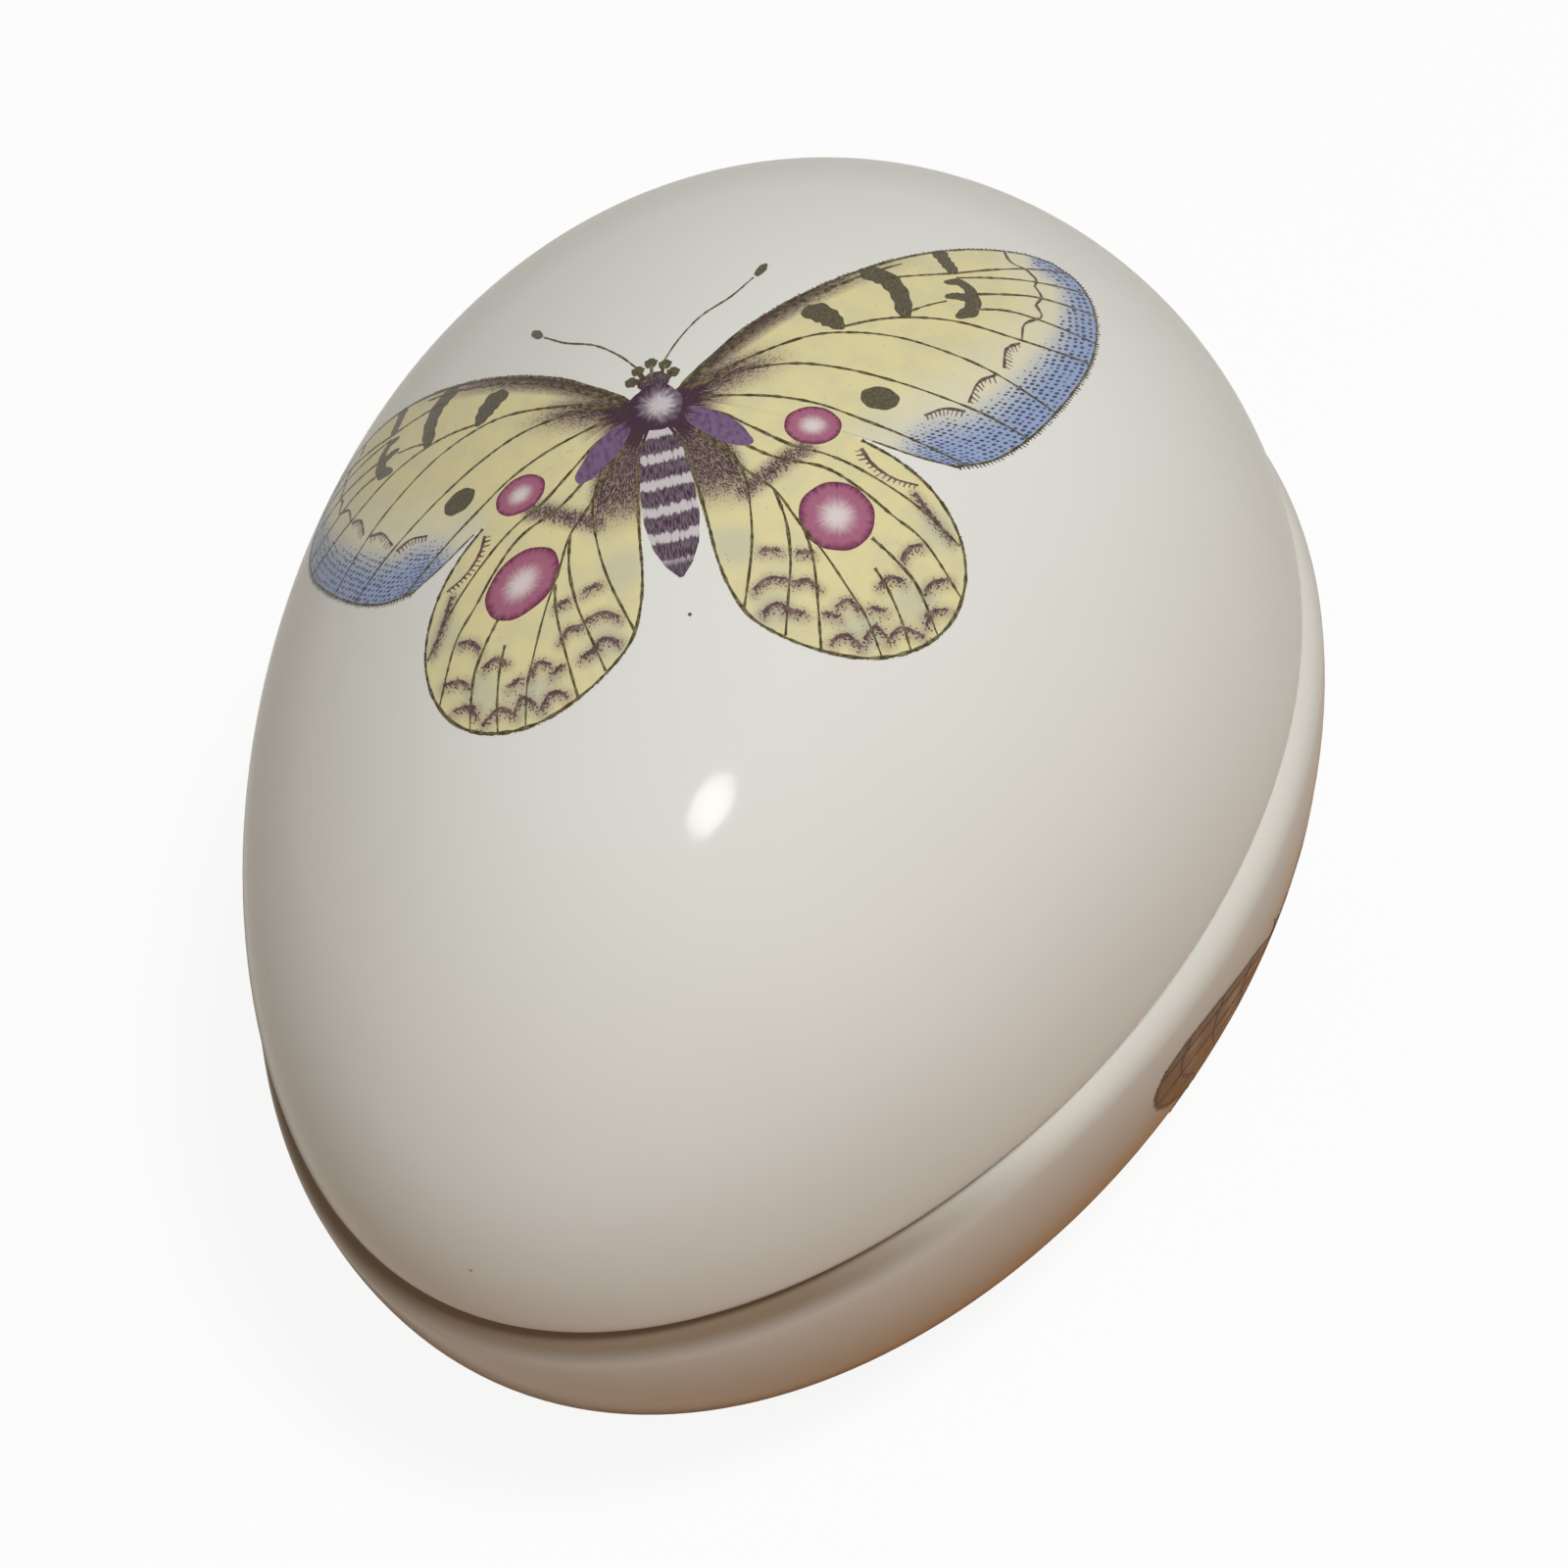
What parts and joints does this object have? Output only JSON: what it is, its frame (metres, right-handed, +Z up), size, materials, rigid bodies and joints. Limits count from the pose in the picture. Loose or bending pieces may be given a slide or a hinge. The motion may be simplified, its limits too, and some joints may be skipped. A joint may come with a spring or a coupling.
{
  "type": "trinket box",
  "caption": "Glazed porcelain trinket box shaped as a lying egg, with a flat-footed bowl base and a domed lid that lifts off a raised flange.",
  "frame": {"origin": "centre of the bounding box in plan, on the plane the foot ring stands on", "axes": "+Z up, along the way the lid lifts; +X along the egg towards its blunt end; +Y across the egg"},
  "size_m": [0.09, 0.0708, 0.066],
  "materials": {
    "base_glaze": "clear gloss glaze over warm white porcelain, bare on the foot ring",
    "lid_glaze": "clear gloss glaze over warm white porcelain, with a printed butterfly"
  },
  "bodies": {
    "base": {"base": "base_glaze"},
    "lid": {"lid": "lid_glaze"}
  },
  "joints": [
    {"name": "lid_lift", "type": "slide", "parent": "base", "child": "lid", "axis": [0, 0, 1], "range_m": [0, 0.075]}
  ]
}
